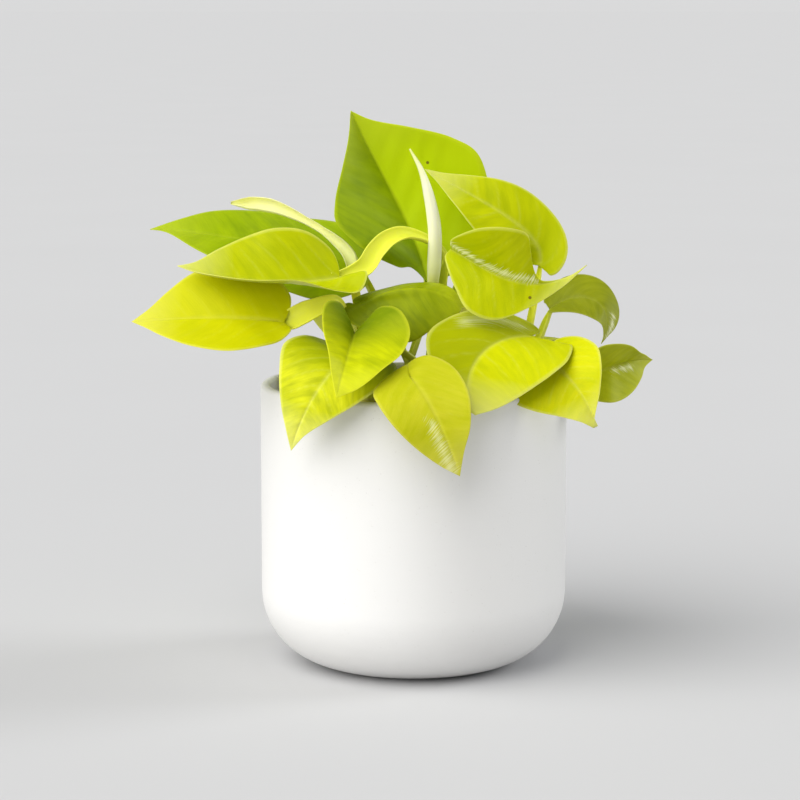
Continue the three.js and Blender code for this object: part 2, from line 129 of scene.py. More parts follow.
class Finish:
    """A material under construction: node() adds any node, and the rest are short names for common ones."""

    def __init__(self, name):
        self.material = bpy.data.materials.new(name)
        self.material.use_nodes = True
        self.tree = self.material.node_tree
        self.shader = self.tree.nodes["Principled BSDF"]

    def node(self, kind, settings=None, inputs=None, output=0):
        """Any node: settings, such as the two stops of a ramp, come first, then its inputs."""
        node = self.tree.nodes.new(kind)
        for key, value in (settings or {}).items():
            if key == "stops":
                for stop, (place, level) in zip(node.color_ramp.elements, value):
                    stop.position = place
                    stop.color = (level, level, level, 1)
            else:
                setattr(node, key, value)
        for key, value in (inputs or {}).items():
            self.plug(node.inputs[key], value)
        return Value(self.tree, node.outputs[output])

    def plug(self, socket, value):
        if isinstance(value, Value):
            self.tree.links.new(value.socket, socket)
        elif isinstance(value, tuple) and len(value) == 3 and socket.type == "RGBA":
            socket.default_value = (*value, 1)
        else:
            socket.default_value = value

    def place(self):
        return self.node("ShaderNodeTexCoord", output="Object")

    def stretched(self, scale):
        return self.node("ShaderNodeMapping", inputs={"Vector": self.place(), "Scale": scale})

    def noise(self, scale, detail=2.0, roughness=0.5, vector=None):
        inputs = {"Vector": vector or self.place(), "Scale": scale, "Detail": detail, "Roughness": roughness}
        return self.node("ShaderNodeTexNoise", inputs=inputs)

    def cells(self, scale):
        return self.node("ShaderNodeTexVoronoi", inputs={"Vector": self.place(), "Scale": scale})

    def ramp(self, value, stops):
        return self.node("ShaderNodeValToRGB", {"stops": stops}, {"Fac": value})

    def mark(self, name):
        return self.node("ShaderNodeAttribute", {"attribute_name": name}, output="Fac")

    def mix(self, share, first, second):
        """Two colours blended by a share, through the colour sockets of a Mix node."""
        inputs = {MIX_SHARE: share, MIX_FIRST: first, MIX_SECOND: second}
        return self.node("ShaderNodeMix", {"data_type": "RGBA"}, inputs, MIX_RESULT)

    def bump(self, height, distance, strength, under=None):
        inputs = {"Height": height, "Distance": distance, "Strength": strength}
        if under is not None:
            inputs["Normal"] = under
        return self.node("ShaderNodeBump", inputs=inputs)

    def set(self, **sockets):
        """Plugs the shader's own sockets, named with _ for a space, and gives the finished material."""
        for key, value in sockets.items():
            self.plug(self.shader.inputs[key.replace("_", " ")], value)
        return self.material


# Finishes


def leaf_finish(name, tone, highlight_strength=0.0, blemish=None, other=None):
    """Living blade: cloudy colour drawn out along the veins, a paler margin and tip, and painted highlight in
    pale strips.

    The tone is a light, a deep and a pale colour, how blotched the blade is, how strongly painted shade
    darkens it towards the joint and how far that reaches. Other is a colour painted on the minus half for how
    light falls on it.
    Blemish is the place of one dark speck, in metres.
    """
    light, deep, pale, blotch, shade, reach = tone
    leaf = Finish(name)
    along, across, flow, edge = (leaf.mark(key) for key in ("along", "across", "flow", "edge"))
    drawn = leaf.node("ShaderNodeCombineXYZ", inputs={"X": flow * 2.4, "Y": across * 6, "Z": along * 2})
    comb = leaf.node("ShaderNodeCombineXYZ", inputs={"X": flow * 15, "Y": across * 6, "Z": 0.0})
    cloud = leaf.ramp(leaf.noise(1.0, 3, 0.55, drawn), [(0.36, 0), (0.66, 1)])
    patches = leaf.ramp(leaf.noise(52, 2), [(0.4, 0), (0.66, 1)])
    stripes = leaf.noise(1.0, 2, 0.6, comb)
    colour = leaf.mix(cloud * blotch + patches * 0.3 + stripes * 0.1, light, deep)
    # Painted shade: the colour deepens towards the joint, in the sinus and under the leaves above.
    root = leaf.ramp(along, [(0.0, 1), (reach, 0)])
    tip = leaf.ramp(along, [(0.66, 0), (1.0, 1)])
    colour = leaf.mix(root * shade, colour, deep)
    # Painted light and shade: the minus half takes the other colour, lighter where that half faces the light
    # and darker where it lies in shade.
    if other:
        colour = leaf.mix(leaf.ramp(across * 20 + 0.5, [(0.3, 1), (0.7, 0)]) * 0.8, colour, other)
    colour = leaf.mix(leaf.mark("vein") * 0.08 + leaf.mark("groove") * 0.18, colour, pale)
    colour = leaf.mix(tip * 0.55, colour, pale)
    colour = leaf.mix(edge * 0.38, colour, pale)
    colour = leaf.mix(leaf.mark("under") * 0.3, colour, pale)
    # Painted highlight: pale cream strips that stand in for the gloss along the folds and veins.
    if highlight_strength:
        painted_highlight = leaf.ramp(leaf.mark("band") * 0.8 + stripes * 1.7 - 1.32, [(0.0, 0), (0.4, 1)])
        colour = leaf.mix(painted_highlight * highlight_strength, colour, (0.9, 0.91, 0.62))
    if blemish:
        ends = {0: leaf.place(), 1: blemish}
        gap = leaf.node("ShaderNodeVectorMath", {"operation": "DISTANCE"}, ends, "Value") * (1 / MM)
        colour = leaf.mix(leaf.ramp(gap, [(0.7, 1), (1.05, 0)]) * 0.85, colour, (0.13, 0.08, 0.015))
    rough = leaf.noise(90, 2) * 0.14 + 0.33
    skin = leaf.bump(leaf.cells(1500), 0.00005, 0.3)
    relief = leaf.bump(stripes, 0.0002, 0.3, leaf.bump(leaf.noise(420, 3), 0.0001, 0.4, skin))
    return leaf.set(
        Base_Color=colour, Roughness=rough, Normal=relief, Specular_IOR_Level=0.06,
        Subsurface_Weight=0.3, Subsurface_Radius=(1.0, 1.0, 0.05), Subsurface_Scale=0.0015,
    )


def stalk_finish():
    """Living stalk: fibres along it, pale wings, pale yellow sheaths brightened further as painted light, and
    brown bark low on the stem.
    """
    stalk = Finish("stalk_skin")
    fibres = stalk.noise(1.0, 2, vector=stalk.stretched((900, 900, 60)))
    cloud = stalk.ramp(stalk.noise(60, 2), [(0.3, 0), (0.7, 1)])
    colour = stalk.mix(cloud, (0.66, 0.71, 0.01), (0.48, 0.58, 0.01))
    colour = stalk.mix(stalk.mark("wing") * 0.4, colour, (0.85, 0.86, 0.2))
    # Painted light: the sheaths' own pale yellow is pushed brighter to offset the shadow that the leaves
    # above cast on them.
    colour = stalk.mix(stalk.mark("sheath"), colour, (0.98, 0.98, 0.06))
    colour = stalk.mix(stalk.mark("bark") * 0.9, colour, (0.33, 0.24, 0.08))
    colour = stalk.mix(fibres * 0.25, colour, (0.72, 0.74, 0.2))
    return stalk.set(
        Base_Color=colour, Roughness=stalk.noise(200, 2) * 0.15 + 0.35,
        Normal=stalk.bump(fibres, 0.0002, 0.35), Specular_IOR_Level=0.2,
        Subsurface_Weight=0.25, Subsurface_Radius=(1.0, 1.0, 0.2), Subsurface_Scale=0.002,
    )


def young_finish(name, body, tip, base):
    """Rolled new leaf: pale cream, thin and fine-veined, greener or whiter towards its ends."""
    young = Finish(name)
    along = young.mark("along")
    fibres = young.noise(1.0, 2, vector=young.stretched((700, 700, 90)))
    colour = young.mix(young.ramp(along, [(0.72, 0), (1.0, 1)]), body, tip)
    colour = young.mix(young.ramp(along, [(0.0, 1), (0.4, 0)]), colour, base)
    colour = young.mix(young.ramp(along, [(0.0, 1), (0.12, 0)]), colour, (0.6, 0.66, 0.03))
    colour = young.mix(fibres * 0.3, colour, tip)
    colour = young.mix(young.mark("wing") * 0.35, colour, (0.88, 0.88, 0.5))
    return young.set(
        Base_Color=colour, Roughness=0.42, Normal=young.bump(fibres, 0.00012, 0.3), Specular_IOR_Level=0.3,
        Subsurface_Weight=0.35, Subsurface_Radius=(1.0, 1.0, 0.4), Subsurface_Scale=0.002,
    )


def ceramic_finish():
    """Matte white ceramic: a smooth body with pinholes, faint turning lines and a few dark specks."""
    clay = Finish("matte_white_ceramic")
    pits = clay.cells(520)
    pinhole = clay.ramp(pits, [(0.06, 1), (0.13, 0)]) * clay.ramp(clay.noise(130, 2), [(0.52, 0), (0.6, 1)])
    turning = clay.noise(1.0, 2, vector=clay.stretched((6, 6, 420)))
    cloud = clay.noise(18, 3)
    specks = clay.ramp(clay.cells(190), [(0.03, 1), (0.055, 0)])
    colour = clay.mix(cloud * 0.5, (0.82, 0.815, 0.8), (0.79, 0.78, 0.76))
    colour = clay.mix(specks * 0.35 + pinhole * 0.3, colour, (0.45, 0.42, 0.38))
    relief = clay.bump(turning, 0.0003, 0.12)
    relief = clay.bump(clay.noise(900, 3, 0.6), 0.00008, 0.35, relief)
    relief = clay.bump(1 - pinhole, 0.0003, 0.6, relief)
    return clay.set(
        Base_Color=colour, Roughness=cloud * 0.12 + 0.52, Normal=relief, Specular_IOR_Level=0.35
    )


def mix_finish(name, dark, light, rough):
    """Peat, bark or grit: fine grains of two colours on a rough surface."""
    soil = Finish(name)
    grains = soil.noise(700, 4, 0.7)
    colour = soil.mix(soil.ramp(grains, [(0.3, 0), (0.72, 1)]), dark, light)
    relief = soil.bump(grains, 0.0012, 0.9)
    return soil.set(Base_Color=colour, Roughness=rough, Normal=relief, Specular_IOR_Level=0.2)


def floor_finish():
    paper = Finish("pale_floor")
    colour = paper.mix(paper.noise(3, 2), (0.55, 0.55, 0.555), (0.565, 0.565, 0.57))
    return paper.set(Base_Color=colour, Roughness=0.9, Specular_IOR_Level=0.1)


# Curves, as the part's source draws them


def bezier(points, t):
    """Cubic curve with four control points."""
    a, b, c, d = (np.array(p, float) for p in points)
    t = t[:, None]
    return a * (1 - t) ** 3 + 3 * b * (1 - t) ** 2 * t + 3 * c * (1 - t) * t ** 2 + d * t ** 3


def spline(points, t, centripetal=True):
    """Open Catmull-Rom curve through the points, at t from 0 to 1; uniform or centripetal."""
    p = np.array(points, float)
    p = np.vstack([2 * p[0] - p[1], p, 2 * p[-1] - p[-2]])
    spot = np.clip(np.asarray(t, float), 0, 1) * (len(p) - 3)
    k = np.minimum(spot.astype(int), len(p) - 4)
    w = (spot - k)[:, None]
    p0, p1, p2, p3 = (p[k + j] for j in range(4))
    if centripetal:
        spans = ((p0, p1), (p1, p2), (p2, p3))
        d0, d1, d2 = (np.maximum(np.sum((b - a) ** 2, 1) ** 0.25, 1e-6)[:, None] for a, b in spans)
        m1 = ((p1 - p0) / d0 - (p2 - p0) / (d0 + d1) + (p2 - p1) / d1) * d1
        m2 = ((p2 - p1) / d1 - (p3 - p1) / (d1 + d2) + (p3 - p2) / d2) * d1
    else:
        m1, m2 = (p2 - p0) / 2, (p3 - p1) / 2
    return p1 + m1 * w + (3 * (p2 - p1) - 2 * m1 - m2) * w ** 2 + (2 * (p1 - p2) + m1 + m2) * w ** 3


class Rail:
    """A curve measured by its own length: at(share) gives points and unit tangents."""

    def __init__(self, draw, samples=400):
        t = np.linspace(0, 1, samples + 1)
        self.points = draw(t)
        steps = np.linalg.norm(np.diff(self.points, axis=0), axis=1)
        self.reach = np.concatenate([[0], np.cumsum(steps)])
        self.length = self.reach[-1]
        slope = np.gradient(self.points, self.reach, axis=0)
        self.slopes = slope / np.linalg.norm(slope, axis=1, keepdims=True)

    def at(self, share):
        spot = np.clip(share, 0, 1) * self.length
        point, slope = (
            np.stack([np.interp(spot, self.reach, rows[:, k]) for k in range(3)], -1)
            for rows in (self.points, self.slopes)
        )
        return point, slope / np.linalg.norm(slope, axis=-1, keepdims=True)


def unit(v):
    return v / np.maximum(np.linalg.norm(v, axis=-1, keepdims=True), 1e-12)


def ease(t):
    t = np.clip(t, 0, 1)
    return t * t * (3 - 2 * t)


# Meshes


def make_piece(name, points, faces, finish, node=None, marks=None):
    """A smooth mesh object in metres; with a node, it stands for that CAD node on the plant's one body."""
    mesh = bpy.data.meshes.new(name)
    mesh.from_pydata((np.asarray(points) * MM).tolist(), [], faces)
    mesh.update()
    for key, values in (marks or {}).items():
        mesh.attributes.new(key, "FLOAT", "POINT").data.foreach_set("value", np.asarray(values, np.float32))
    mesh.materials.append(finish)
    mesh.polygons.foreach_set("use_smooth", [True] * len(mesh.polygons))
    piece = bpy.data.objects.new(name, mesh)
    bpy.context.scene.collection.objects.link(piece)
    if node:
        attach(piece, "root")
        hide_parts(node)
    return piece


def tube_faces(rings, sides):
    """Faces of stacked rings of points, closed with the first and the last centre, which follow them."""
    faces = []
    for ring in range(rings - 1):
        for k in range(sides):
            a, b = ring * sides + k, ring * sides + (k + 1) % sides
            faces.append((a, b, b + sides, a + sides))
    first, last, top = rings * sides, rings * sides + 1, (rings - 1) * sides
    for k in range(sides):
        after = (k + 1) % sides
        faces += [(first, after, k), (last, top + k, top + after)]
    return faces


def lathe(profile, sides):
    """Points and faces of a solid turned about Z; the profile starts and ends on the axis."""
    inner = np.array(profile[1:-1], float)
    turn = np.linspace(0, 2 * math.pi, sides, endpoint=False)
    rings = np.stack([
        inner[:, None, 0] * np.cos(turn), inner[:, None, 0] * np.sin(turn), inner[:, None, 1] + 0 * turn,
    ], -1).reshape(-1, 3)
    points = np.vstack([rings, [[0, 0, profile[0][1]], [0, 0, profile[-1][1]]]])
    return points, tube_faces(len(inner), sides)


def arc(cx, cz, radius, start, end, steps):
    """Profile points on an arc, from one angle to another in degrees."""
    angle = np.radians(np.linspace(start, end, steps + 1))
    return [(cx + radius * math.cos(a), cz + radius * math.sin(a)) for a in angle]


# Pot

POT_RADIUS = 80
POT_HEIGHT = 148
POT_CORNER = 39
POT_WALL = 5
POT_FLOOR = 7
POT_INNER = POT_RADIUS - POT_WALL
INNER_CORNER = POT_CORNER - POT_WALL
RIM_OUTSIDE = 2.4
RIM_INSIDE = 2.2
RIM_DROP = 4
POT_SIDES = 192
TRUE_RADIUS = 50


def make_pot():
    """Turned pot with a rounded rim; beyond TRUE_RADIUS it is a tenth of a millimetre out of round."""
    outer_wall = [(POT_RADIUS, z) for z in np.linspace(POT_CORNER, POT_HEIGHT - RIM_OUTSIDE, 24)]
    inner_wall = [(POT_INNER, z) for z in np.linspace(POT_HEIGHT - RIM_DROP, POT_FLOOR + INNER_CORNER, 14)]
    profile = [(0, 0), (12, 0), (26, 0), (38, 0)]
    profile += arc(POT_RADIUS - POT_CORNER, POT_CORNER, POT_CORNER, -90, 0, 28)
    profile += outer_wall[1:-1]
    profile += arc(POT_RADIUS - RIM_OUTSIDE, POT_HEIGHT - RIM_OUTSIDE, RIM_OUTSIDE, 0, 90, 8)
    profile += arc(POT_INNER + RIM_INSIDE, POT_HEIGHT - RIM_INSIDE, RIM_INSIDE, 90, 180, 8)
    profile += inner_wall[1:-1]
    profile += arc(POT_INNER - INNER_CORNER, POT_FLOOR + INNER_CORNER, INNER_CORNER, 0, -90, 14)
    profile += [(0, POT_FLOOR)]
    points, faces = lathe(profile, POT_SIDES)
    turn = np.arctan2(points[:, 1], points[:, 0])
    give = 0.12 * np.sin(2 * turn + 0.6) + 0.06 * np.sin(3 * turn + points[:, 2] * 0.02)
    radius = np.linalg.norm(points[:, :2], axis=1)
    points[:, :2] *= (1 + give / POT_RADIUS * (radius > TRUE_RADIUS))[:, None]
    make_piece("pot_body", points, faces, ceramic_finish(), "pot")


# Blades

HALF_WIDTH = 0.41
LOBE_ROWS = 0.3
FULL_LOBE = 0.15
BLADE_ROWS = 84
BLADE_COLUMNS = 18
BLADE_THICKNESS = 0.55
RIPPLES = 2.5
RIPPLE_HEIGHT = 0.7
RIPPLE_START = 0.2
RIPPLE_SHIFT = 1.3
VEINS = 6.5
BOW = 0.28
LEAST_ARCH = 0.01
JOINT_CROWD = 1.15
RIB_CROWD = 1.6
RIB_WIDTH = 0.6
GROOVE_DEPTH = 0.28
RIB_DEPTH = 0.75
EDGE_TAPER = 0.45
EDGE_ROUND = 0.4
EDGE_BAND = 0.06


def heart_outline(lobe, belly, steps):
    """Half a heart, from joint to tip, as shares of length: lobe reaches back, belly is the widest place."""
    rest, shift, wedge = 1 - belly, belly - 0.25, min(0, lobe)
    points = [
        (0, 0),
        (-0.85 * lobe, 0.11 + 0.3 * wedge),
        (-0.85 * lobe, 0.25 - 0.35 * shift),
        (0.03 + 0.7 * shift, 0.36 - 0.15 * shift),
        (belly, HALF_WIDTH),
        (1 - 0.7 * rest, 0.345),
        (1 - 0.4 * rest, 0.2),
        (1 - 0.17 * rest, 0.07),
        (1, 0),
    ]
    return spline(points, np.linspace(0, 1, steps + 1), centripetal=False)


class Blade:
    """One blade's form: midrib as four curve points in millimetres, the way its upper face looks at the
    joint and the tip, full width as a share of length, and the folds of its two halves in degrees.

    Its habit: arch of a half, lobe and belly of the outline, quilt between veins, a strip of painted
    highlight with its strength, a blemish, a colour painted on the other half for how light falls on it, and
    the tip of its margins if the midrib stops short of it. A pair is for the plus and the minus half.
    """

    def __init__(self, name, midrib, face, width, fold, tone, **habit):
        self.name, self.midrib, self.face, self.fold = name, midrib, face, fold
        self.width = width if isinstance(width, tuple) else (width, width)
        self.tone = tone
        self.arch = habit.get("arch", -10)
        self.lobe = habit.get("lobe", 0.11)
        belly = habit.get("belly", 0.25)
        self.belly = belly if isinstance(belly, tuple) else (belly, belly)
        self.quilt = habit.get("quilt", 0.09)
        self.highlight_path = habit.get("highlight_path")
        self.painted_gloss = habit.get("painted_gloss", 0.8) if self.highlight_path else 0.0
        self.blemish = habit.get("blemish")
        self.other = habit.get("other")
        tip = habit.get("tip", midrib[-1])
        self.margin = [drawn and [midrib[0], *drawn, tip] for drawn in MARGINS.get(name, (None, None))]
        self.rail = Rail(lambda t: bezier(midrib, t))
        self.length = self.rail.length
        draw = random.Random(name)
        self.dips = [
            (draw.uniform(0, 2 * math.pi), draw.uniform(-1, 1), draw.uniform(-1, 1)) for _ in range(4)
        ]

    def frame(self, along):
        """Point on the midrib, the way along it, the way its face looks, and the way across."""
        t = np.clip(along, 0, 1)
        point, tangent = self.rail.at(t)
        point = point + tangent * (np.minimum(along, 0) * self.length)[..., None]
        start, end = (np.array(v, float) for v in self.face)
        normal = start + (end - start) * t[..., None]
        normal = unit(normal - tangent * np.sum(normal * tangent, -1, keepdims=True))
        return point, tangent, normal, np.cross(normal, tangent)

    def surface(self, sign, along, across, row, column, seat):
        """Points of one half: folded about the midrib and arched, with ripples that grow to the margin."""
        drawn = self.margin[0 if sign > 0 else 1]
        if drawn:
            return self.stretched(sign, drawn, along, across, row, column, seat)
        rib, _, normal, side = self.frame(along)
        stops = self.fold[0] if sign > 0 else self.fold[1]
        spot = np.clip(along, 0, 1) * (len(stops) - 1)
        step = np.minimum(spot.astype(int), len(stops) - 2)
        share = spot - step if len(stops) == 2 else ease(spot - step)
        stops = np.array(stops, float)
        fold = np.radians(stops[step] + (stops[step + 1] - stops[step]) * share)
        bend = math.radians(self.arch or LEAST_ARCH) / HALF_WIDTH
        turn = fold + bend * across
        out = (np.sin(turn) - np.sin(fold)) / bend * self.length
        up = (np.cos(fold) - np.cos(turn)) / bend * self.length
        phase = 2 * math.pi * RIPPLES * row + self.midrib[0][0] + (0 if sign > 0 else RIPPLE_SHIFT)
        lift = RIPPLE_HEIGHT * np.sin(phase) * column ** 2 * np.minimum(1, across / RIPPLE_START)
        lift = lift + self.swell(sign, along, across, column)
        return rib + side * (sign * out)[..., None] + normal * (up + lift)[..., None]

    def stretched(self, sign, drawn, along, across, row, column, seat):
        """A half with a given margin: it spans from the midrib out to it, softly bowed."""
        rib, tangent, _, _ = self.frame(seat + 0 * row)
        reach = spline(drawn, row.ravel()).reshape(row.shape + (3,)) - rib
        up = unit(np.cross(tangent, reach)) * sign
        bow = BOW * np.linalg.norm(reach, axis=-1) * math.radians(-self.arch) * column * (1 - column)
        lift = bow + self.swell(sign, along, across, column) * np.clip(column * 6, 0, 1)
        return rib + reach * column[..., None] + up * lift[..., None]

    def vein_phase(self, along, across):
        """Counts the side veins, which sweep forward from the midrib to the margin."""
        return VEINS * (along - 0.62 * across - 1.1 * across ** 2)

    def swell(self, sign, along, across, column):
        """Panels that swell softly between the side veins, and broad shallow dents."""
        panel = np.cos(2 * math.pi * self.vein_phase(along, across))
        window = np.clip(across / 0.05, 0, 1) * (1 - column ** 4) * ease((1 - along) / 0.3)
        dent = sum(
            np.sin(phase + 9 * a * along + 11 * b * across * sign) for phase, a, b in self.dips
        )
        return self.quilt * panel * window + 0.3 * dent * np.clip(across / 0.1, 0, 1)


def blade_sheet(blade):
    """Middle surface of a blade: welded points, quads, and marks for its finish. Rows and columns crowd
    towards the joint and the midrib, and the first rows fan out round a lobe."""
    rows = np.linspace(0, 1, BLADE_ROWS + 1)
    fan = LOBE_ROWS * min(max(blade.lobe / FULL_LOBE, 0), 1)
    start = np.maximum(0, (rows - fan) / (1 - fan)) ** JOINT_CROWD
    first = 0 if start[1] > 0 else 1
    share = np.linspace(0, 1, BLADE_COLUMNS + 1)
    share = 0.55 * share + 0.45 * share ** RIB_CROWD
    row, column = np.meshgrid(rows, share, indexing="ij")
    points, faces, marks = [], [], []
    for half, sign in enumerate((1, -1)):
        outline = heart_outline(blade.lobe, blade.belly[half], BLADE_ROWS)
        along = start[:, None] * (1 - column) + outline[:, :1] * column
        across = np.maximum(0, outline[:, 1:2] * blade.width[half] / (2 * HALF_WIDTH) * column)
        points.append(blade.surface(sign, along, across, row, column, start[:, None]).reshape(-1, 3))
        flow = blade.vein_phase(along, across)
        vein = np.clip(1 - np.abs(np.sin(math.pi * flow)) * 4, 0, 1)
        vein *= np.clip(across / 0.03, 0, 1) * (1 - column ** 3)
        marks.append(np.stack([along, across * sign, column, vein, flow], -1).reshape(-1, 5))
        grid = (np.arange(row.size).reshape(row.shape) + half * row.size)[first:]
        a, b, c, d = grid[:-1, :-1], grid[:-1, 1:], grid[1:, 1:], grid[1:, :-1]
        order = (a, d, c, b) if sign > 0 else (a, b, c, d)
        faces.append(np.stack([corner.ravel() for corner in order], -1))
    return weld(np.vstack(points), np.vstack(faces), np.vstack(marks))


WELD_STEPS = 500


def weld(points, faces, marks):
    """Points that fall in the same step of 1 / WELD_STEPS mm become one, and faces that collapse go."""
    keys = np.round(points * WELD_STEPS).astype(np.int64)
    _, first, index = np.unique(keys, axis=0, return_index=True, return_inverse=True)
    index = index.ravel()
    kept = []
    for face in index[faces].tolist():
        corners = [k for n, k in enumerate(face) if k != face[n - 1]]
        if len(set(corners)) >= 3:
            kept.append(corners)
    return points[first], kept, marks[first]


def sheet_normals(points, faces):
    normals = np.zeros_like(points)
    for face in faces:
        a, b, c = points[face[0]], points[face[1]], points[face[2]]
        normal = np.cross(b - a, c - a)
        for k in face:
            normals[k] += normal
    return unit(normals)


def open_rim(faces):
    """The sheet's open edges, each as the pair of points that its face runs through."""
    ways = dict.fromkeys((face[n - 1], k) for face in faces for n, k in enumerate(face))
    return [(a, b) for a, b in ways if (b, a) not in ways]


def make_blade(blade, finish):
    """Thickens the sheet, with the midrib sunk above and raised below, and closes it with a rounded rim."""
    points, faces, marks = blade_sheet(blade)
    along, across, column, vein, flow = marks.T
    normals = sheet_normals(points, faces)
    rib_width = RIB_WIDTH + RIB_WIDTH * (1 - np.clip(along, 0, 1))
    near_rib = np.exp(-((np.abs(across) * blade.length / rib_width) ** 2))
    near_rib *= ease((1 - along) / 0.12) * ease((along + 0.01) / 0.04)
    thin = BLADE_THICKNESS * (1 - EDGE_TAPER * column ** 2)
    ridge = RIB_DEPTH * near_rib * (1 - 0.6 * np.clip(along, 0, 1))
    upper = points + normals * (thin / 2 - GROOVE_DEPTH * near_rib)[:, None]
    lower = points - normals * (thin / 2 + ridge)[:, None]
    rim = open_rim(faces)
    count = len(points)
    outward = np.zeros_like(points)
    for a, b in rim:
        push = np.cross(points[b] - points[a], normals[a] + normals[b])
        outward[a] += push
        outward[b] += push
    ring = sorted({k for pair in rim for k in pair})
    seat = {k: 2 * count + n for n, k in enumerate(ring)}
    edge_points = points[ring] + unit(outward[ring]) * (EDGE_ROUND * thin[ring])[:, None]
    walls = []
    for a, b in rim:
        walls.append((b, a, seat[a], seat[b]))
        walls.append((seat[b], seat[a], a + count, b + count))
    solid = list(faces) + walls + [tuple(k + count for k in reversed(face)) for face in faces]

    def spread(values, rim_value=None):
        """Marks of the sheet, given to both faces and the rim."""
        tail = values[ring] if rim_value is None else np.full(len(ring), rim_value)
        return np.concatenate([values, values, tail])

    margin = np.clip(1 - (1 - column) / EDGE_BAND, 0, 1) ** 2
    piece_marks = {
        "along": spread(np.clip(along, 0, 1)),
        "across": spread(across),
        "flow": spread(flow),
        "vein": spread(vein),
        "groove": spread(near_rib),
        "edge": spread(margin, 1.0),
        "under": np.concatenate([np.zeros(count), np.ones(count), np.full(len(ring), 0.5)]),
    }
    if blade.highlight_path:
        piece_marks["band"] = spread(band_mark(blade.highlight_path, along, across))
    body = np.vstack([upper, lower, edge_points])
    make_piece(blade.name + "_blade", body, solid, finish, blade.name, piece_marks)


def band_mark(highlight_path, along, across):
    """Where the painted highlight lies: a strip from one point of the blade to another, of a given half
    width.
    """
    (a0, c0), (a1, c1), width = highlight_path
    start, way = np.array([a0, c0]), np.array([a1 - a0, c1 - c0])
    spot = np.stack([along, across], -1) - start
    share = np.clip(spot @ way / (way @ way), 0, 1)
    gap = np.linalg.norm(spot - share[:, None] * way, axis=1)
    return np.clip(1 - gap / width, 0, 1)


# Margins drawn in millimetres, between the joint and the tip, for a blade's plus and minus half.
# They serve where a half curls in a way that its fold alone cannot give.

MARGINS = {
    "leaf_front": (
        [(-3, -77, 167), (6, -72, 171), (17, -79, 168), (24, -90, 161),
         (27, -99, 152), (27, -104, 140), (24, -105, 128)],
        [(-3, -77, 167), (-11, -78, 163), (-20, -90, 156), (-17, -103, 150),
         (-9, -109, 140), (1, -108, 130), (13, -106, 121)],
    ),
    "leaf_middle": (
        [(-31, -25, 193), (-27, -20, 195), (-15, -12, 198), (-5, -8, 200),
         (4, -10, 201), (13, -18, 201), (21, -26, 198)],
        [(-34, -26, 192), (-38, -28, 188), (-30, -30, 181), (-12, -37, 174),
         (-1, -40, 174), (12, -37, 182), (23, -33, 188)],
    ),
    "leaf_left_high": (
        [(-24, 21, 201), (-27, 15, 195), (-46, 8, 190), (-64, 0, 195),
         (-91, 2, 207), (-113, 14, 216), (-130, 26, 224)],
        [(-26, 35, 207), (-25, 45, 214), (-35, 52, 225), (-59, 56, 229),
         (-81, 53, 233), (-107, 44, 234), (-125, 37, 230)],
    ),
    "leaf_cupped": (
        [(19, -34, 225), (24, -42, 229), (34, -52, 233), (47, -55, 233),
         (57, -50, 229), (58, -38, 206), (74, -33, 204)],
        [(16, -31, 217), (17, -37, 211), (21, -43, 201), (27, -48, 191),
         (40, -47, 186), (59, -42, 192), (76, -36, 202)],
    ),
    "leaf_front_right": (
        [(74, -34, 172), (80, -42, 172), (77, -53, 166), (69, -63, 160),
         (59, -69, 154), (49, -74, 149), (39, -79, 145)],
        [(65, -20, 178), (60, -16, 182), (38, -24, 189), (16, -43, 186),
         (6, -62, 178), (11, -76, 160), (22, -81, 148)],
    ),
    "leaf_left_low": (
        [(-62, -47, 181), (-67, -52, 176), (-76, -60, 174), (-92, -66, 172),
         (-110, -62, 174), (-127, -49, 178), (-137, -37, 181)],
        [(-63, -37, 190), (-63, -32, 197), (-70, -28, 205), (-93, -25, 212),
         (-111, -26, 208), (-126, -28, 198), (-136, -30, 189)],
    ),
    "leaf_left_middle": (
        [(-24, -29, 208), (-27, -34, 199), (-39, -44, 200), (-59, -58, 207),
         (-79, -60, 208), (-100, -49, 209), (-112, -40, 210)],
        [(-39, -18, 211), (-43, -15, 219), (-55, -18, 228), (-71, -22, 230),
         (-86, -24, 226), (-100, -29, 220), (-111, -33, 214)],
    ),
    "leaf_right_small": (
        [(87, -22, 157), (88, -25, 163), (95, -26, 169), (105, -20, 170),
         (113, -11, 168), (119, -2, 163), (123, 6, 160)],
        [(89, -21, 148), (92, -24, 142), (100, -24, 140), (108, -17, 141),
         (115, -9, 145), (119, -1, 150), (122, 7, 155)],
    ),
    "leaf_right_middle": (
        None,
        [(70, -5, 185), (71, -9, 185), (76, -15, 186), (84, -18, 186),
         (91, -19, 184), (97, -17, 180), (98, -15, 174)],
    ),
    "leaf_heart": (
        [(-24, -40, 185), (-17, -42, 191), (-7, -54, 191), (-2, -66, 182),
         (-6, -78, 173), (-15, -89, 166), (-27, -96, 158)],
        [(-35, -40, 185), (-37, -38, 192), (-42, -50, 196), (-45, -64, 194),
         (-45, -78, 185), (-42, -90, 175), (-40, -97, 163)],
    ),
    "leaf_front_left": (
        [(-21, -46, 166), (-12, -49, 165), (-9, -67, 162), (-18, -82, 156),
         (-29, -87, 149), (-42, -87, 141), (-54, -85, 133)],
        [(-36, -42, 171), (-45, -38, 175), (-56, -50, 179), (-65, -60, 176),
         (-67, -71, 164), (-66, -79, 148), (-63, -83, 134)],
    ),
    "leaf_right_low": (
        [(69, -31, 170), (73, -30, 174), (83, -38, 177), (92, -48, 173),
         (94, -56, 165), (93, -60, 151), (91, -61, 141)],
        [(59, -35, 164), (53, -36, 160), (48, -51, 152), (50, -60, 146),
         (60, -63, 142), (73, -63, 139), (84, -63, 136)],
    ),
}
